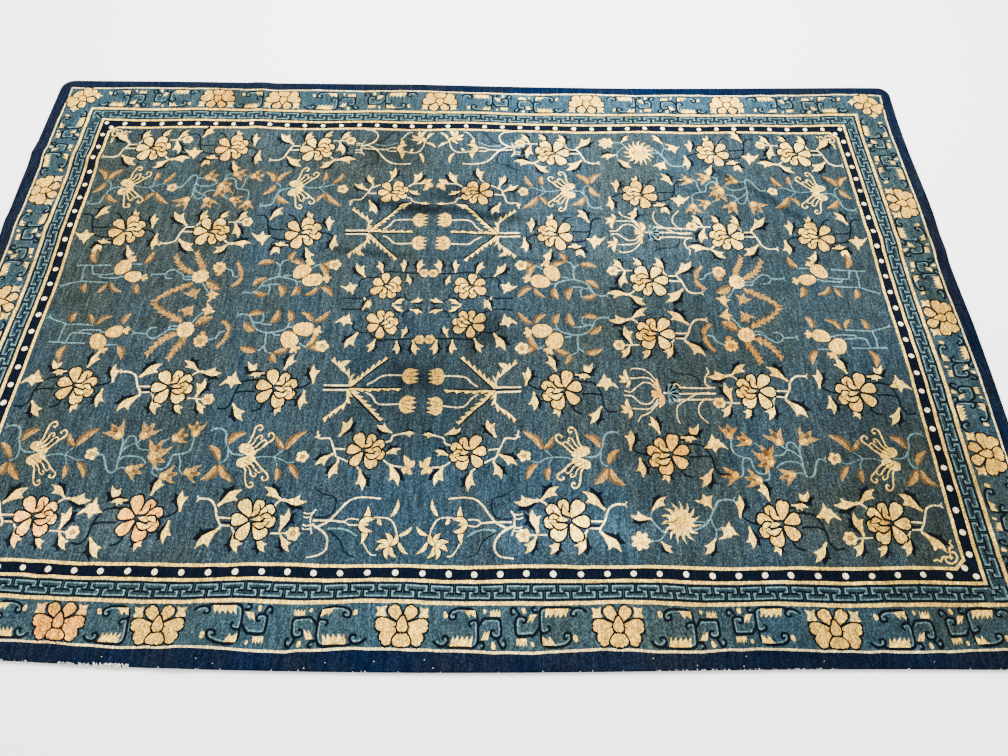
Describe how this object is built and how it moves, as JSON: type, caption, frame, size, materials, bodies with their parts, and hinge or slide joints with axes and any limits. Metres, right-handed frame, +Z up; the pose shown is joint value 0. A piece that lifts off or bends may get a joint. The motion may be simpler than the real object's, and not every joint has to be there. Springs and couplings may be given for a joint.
{
  "type": "knotted wool rug",
  "caption": "Hand-knotted wool rug in blue with an all-over flower pattern, a key-fret border, a pearl border and a lotus-scroll border, lying on a floor.",
  "frame": {"origin": "on the floor under the middle of the rug", "axes": "+X along the long side, +Y across it towards the back edge, +Z up"},
  "size_m": [2.74, 1.83, 0.016],
  "materials": {
    "rug_wool": "wool pile, matte"
  },
  "bodies": {
    "root": {"rug": "rug_wool"}
  },
  "joints": []
}
